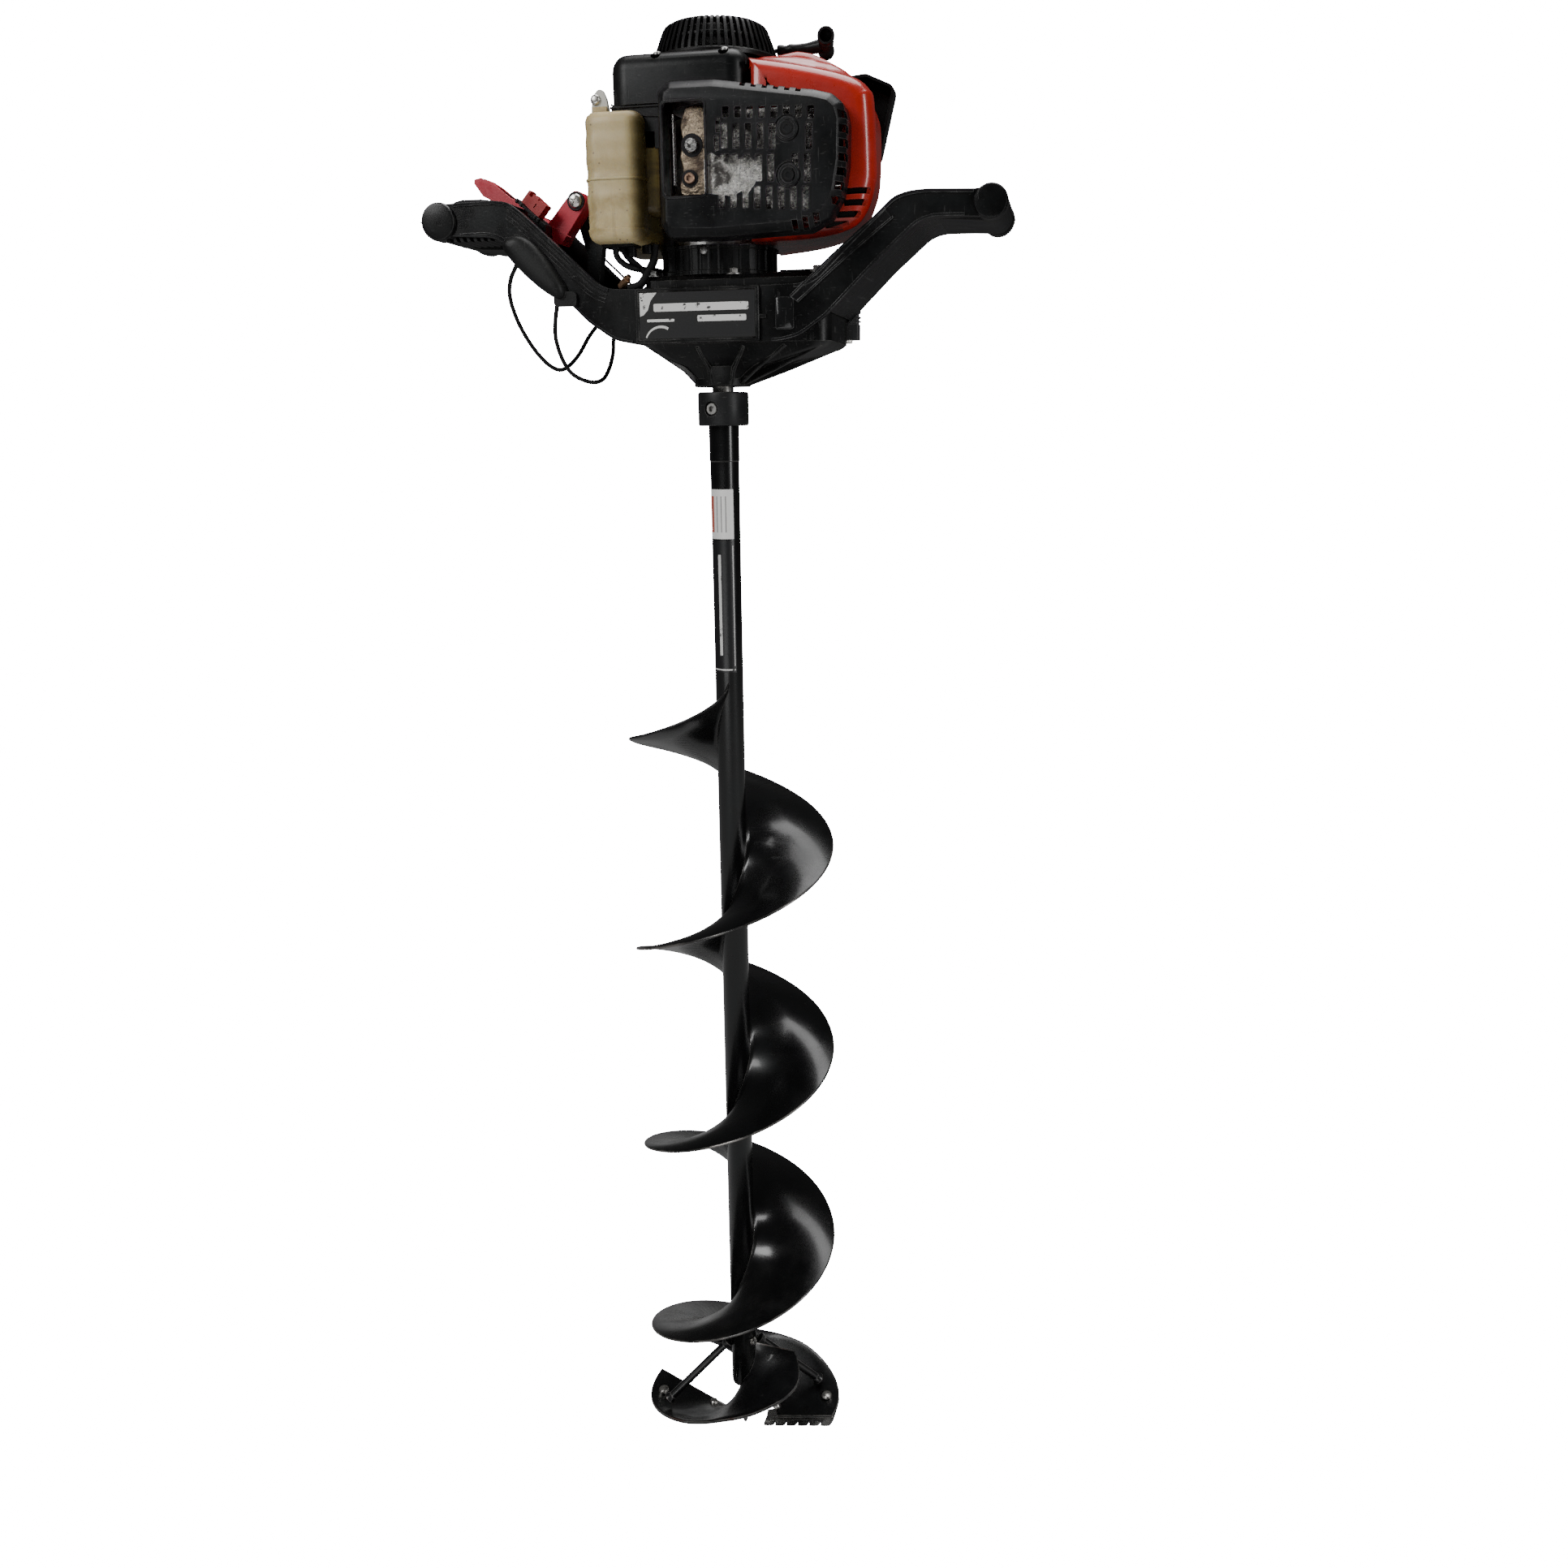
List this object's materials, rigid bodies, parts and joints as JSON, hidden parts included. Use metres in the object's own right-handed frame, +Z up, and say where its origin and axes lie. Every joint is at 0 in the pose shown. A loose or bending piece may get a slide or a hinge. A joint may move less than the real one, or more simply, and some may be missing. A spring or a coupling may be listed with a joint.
{
  "type": "ice fishing auger",
  "caption": "Engine-driven ice fishing auger: two handle arms and a small engine over a gearbox that turns a long screw drill with bladed cutting head.",
  "frame": {"origin": "centre of the flat end of the drill's centre point, on the drill axis, at the ice surface", "axes": "+Z up along the drill axis; -Y is the front, which carries the label panel and the muffler; -X is the throttle side"},
  "size_m": [0.498, 0.217, 1.3665],
  "materials": {
    "black_plastic": "satin moulded black",
    "black_cast": "casting painted black",
    "black_paint": "gloss black enamel",
    "red_plastic": "semi-gloss red",
    "red_control": "matt red",
    "tank_plastic": "milky translucent",
    "cast_alloy": "as cast",
    "steel": "machined",
    "muffler_steel": "heat-tinted sheet",
    "rubber": "matt black"
  },
  "bodies": {
    "powerhead": {"gear_case": "black_cast", "gear_case_lid": "black_cast", "clutch_housing": "black_cast", "lower_bearing": "steel", "upper_bearing": "steel", "front_panel": "black_plastic", "left_arm": "black_plastic", "right_arm": "black_plastic", "throttle_cover": "black_plastic", "rear_clamp": "black_plastic", "lever_post": "black_plastic", "switch_base": "black_plastic", "lower_crankcase": "cast_alloy", "upper_crankcase": "cast_alloy", "cylinder": "cast_alloy", "spark_plug": "steel", "plug_boot": "rubber", "muffler": "muffler_steel", "muffler_cover": "black_plastic", "red_cover": "red_plastic", "fan_shroud": "black_plastic", "starter_housing": "black_plastic", "fuel_tank": "tank_plastic", "intake_manifold": "cast_alloy", "carburetor": "cast_alloy", "air_filter_cover": "black_plastic", "ignition_coil": "rubber", "throttle_cable": "rubber", "stop_wire": "rubber", "fuel_hose": "rubber"},
    "drill": {"drill_shaft": "black_paint", "centre_point": "black_paint", "flighting": "black_paint", "wing_right": "black_paint", "wing_left": "black_paint", "blade_right": "steel", "blade_left": "steel", "strut_right": "black_paint", "strut_left": "black_paint", "coupling_collar": "black_paint", "coupling_bolt": "steel", "output_shaft": "steel"},
    "layshaft_gears": {"layshaft": "steel"},
    "drum": {"clutch_drum": "steel"},
    "crank": {"upper_crankshaft": "steel", "lower_crankshaft": "steel", "flywheel": "cast_alloy"},
    "shoe_a": {"clutch_shoe_a": "steel"},
    "shoe_b": {"clutch_shoe_b": "steel"},
    "piston_body": {"piston": "cast_alloy"},
    "rod_body": {"connecting_rod": "steel"},
    "starter_reel": {"starter_pulley": "black_plastic"},
    "starter_pull": {"pull_handle": "black_plastic", "starter_rope": "rubber"},
    "throttle": {"throttle_lever": "red_control"},
    "carb_throttle": {"throttle_arm": "steel"},
    "choke": {"choke_lever": "black_plastic"},
    "switch": {"stop_switch": "red_control"},
    "cap": {"fuel_cap": "black_plastic"}
  },
  "joints": [
    {"name": "drill_spin", "type": "hinge", "parent": "powerhead", "child": "drill", "pos_m": [0, 0, 1.09], "axis": [0, 0, 1], "continuous": true},
    {"name": "layshaft_spin", "type": "hinge", "parent": "powerhead", "child": "layshaft_gears", "pos_m": [0.054, 0, 1.13], "axis": [0, 0, 1], "continuous": true},
    {"name": "drum_spin", "type": "hinge", "parent": "powerhead", "child": "drum", "pos_m": [0, 0, 1.16], "axis": [0, 0, 1], "continuous": true},
    {"name": "crank_spin", "type": "hinge", "parent": "powerhead", "child": "crank", "pos_m": [0, 0, 1.252], "axis": [0, 0, 1], "continuous": true},
    {"name": "shoe_a_out", "type": "slide", "parent": "crank", "child": "shoe_a", "axis": [0, 1, 0], "range_m": [0, 0.0015], "stiffness_N_per_m": 400},
    {"name": "shoe_b_out", "type": "slide", "parent": "crank", "child": "shoe_b", "axis": [0, -1, 0], "range_m": [0, 0.0015], "stiffness_N_per_m": 400},
    {"name": "piston_stroke", "type": "slide", "parent": "powerhead", "child": "piston_body", "axis": [1, 0, 0], "range_m": [-0.032, 0]},
    {"name": "rod_swing", "type": "hinge", "parent": "piston_body", "child": "rod_body", "pos_m": [0.071, 0, 1.252], "axis": [0, 0, 1], "range_deg": [-16, 16]},
    {"name": "reel_turn", "type": "hinge", "parent": "powerhead", "child": "starter_reel", "pos_m": [0, 0, 1.35], "axis": [0, 0, 1], "range_deg": [-90, 0], "stiffness_Nm_per_rad": 0.02, "springref_deg": 34.38},
    {"name": "pull_out", "type": "slide", "parent": "powerhead", "child": "starter_pull", "axis": [1, 0, 0], "range_m": [0, 0.04]},
    {"name": "throttle_press", "type": "hinge", "parent": "powerhead", "child": "throttle", "pos_m": [-0.1255, 0, 1.2335], "axis": [0, 1, 0], "range_deg": [-11, 0], "stiffness_Nm_per_rad": 0.2, "springref_deg": 20.05},
    {"name": "carb_throttle_turn", "type": "hinge", "parent": "powerhead", "child": "carb_throttle", "pos_m": [0.07, 0.074, 1.252], "axis": [0, 0, 1], "range_deg": [-67, 0]},
    {"name": "choke_turn", "type": "hinge", "parent": "powerhead", "child": "choke", "pos_m": [0.07, 0.083, 1.252], "axis": [0, 0, 1], "range_deg": [0, 75]},
    {"name": "switch_slide", "type": "slide", "parent": "powerhead", "child": "switch", "axis": [0.7431, 0, -0.6691], "range_m": [-0.004, 0]},
    {"name": "cap_turn", "type": "hinge", "parent": "powerhead", "child": "cap", "pos_m": [-0.096, 0.026, 1.26], "axis": [1, 0, 0], "range_deg": [0, 360]}
  ],
  "couplings": [
    {"joint": "layshaft_spin", "follows": "drill_spin", "ratio": -3.9091},
    {"joint": "drum_spin", "follows": "drill_spin", "ratio": 19.545},
    {"joint": "pull_out", "follows": "reel_turn", "m_per_rad": -0.0248},
    {"joint": "carb_throttle_turn", "follows": "throttle_press", "ratio": 6}
  ]
}
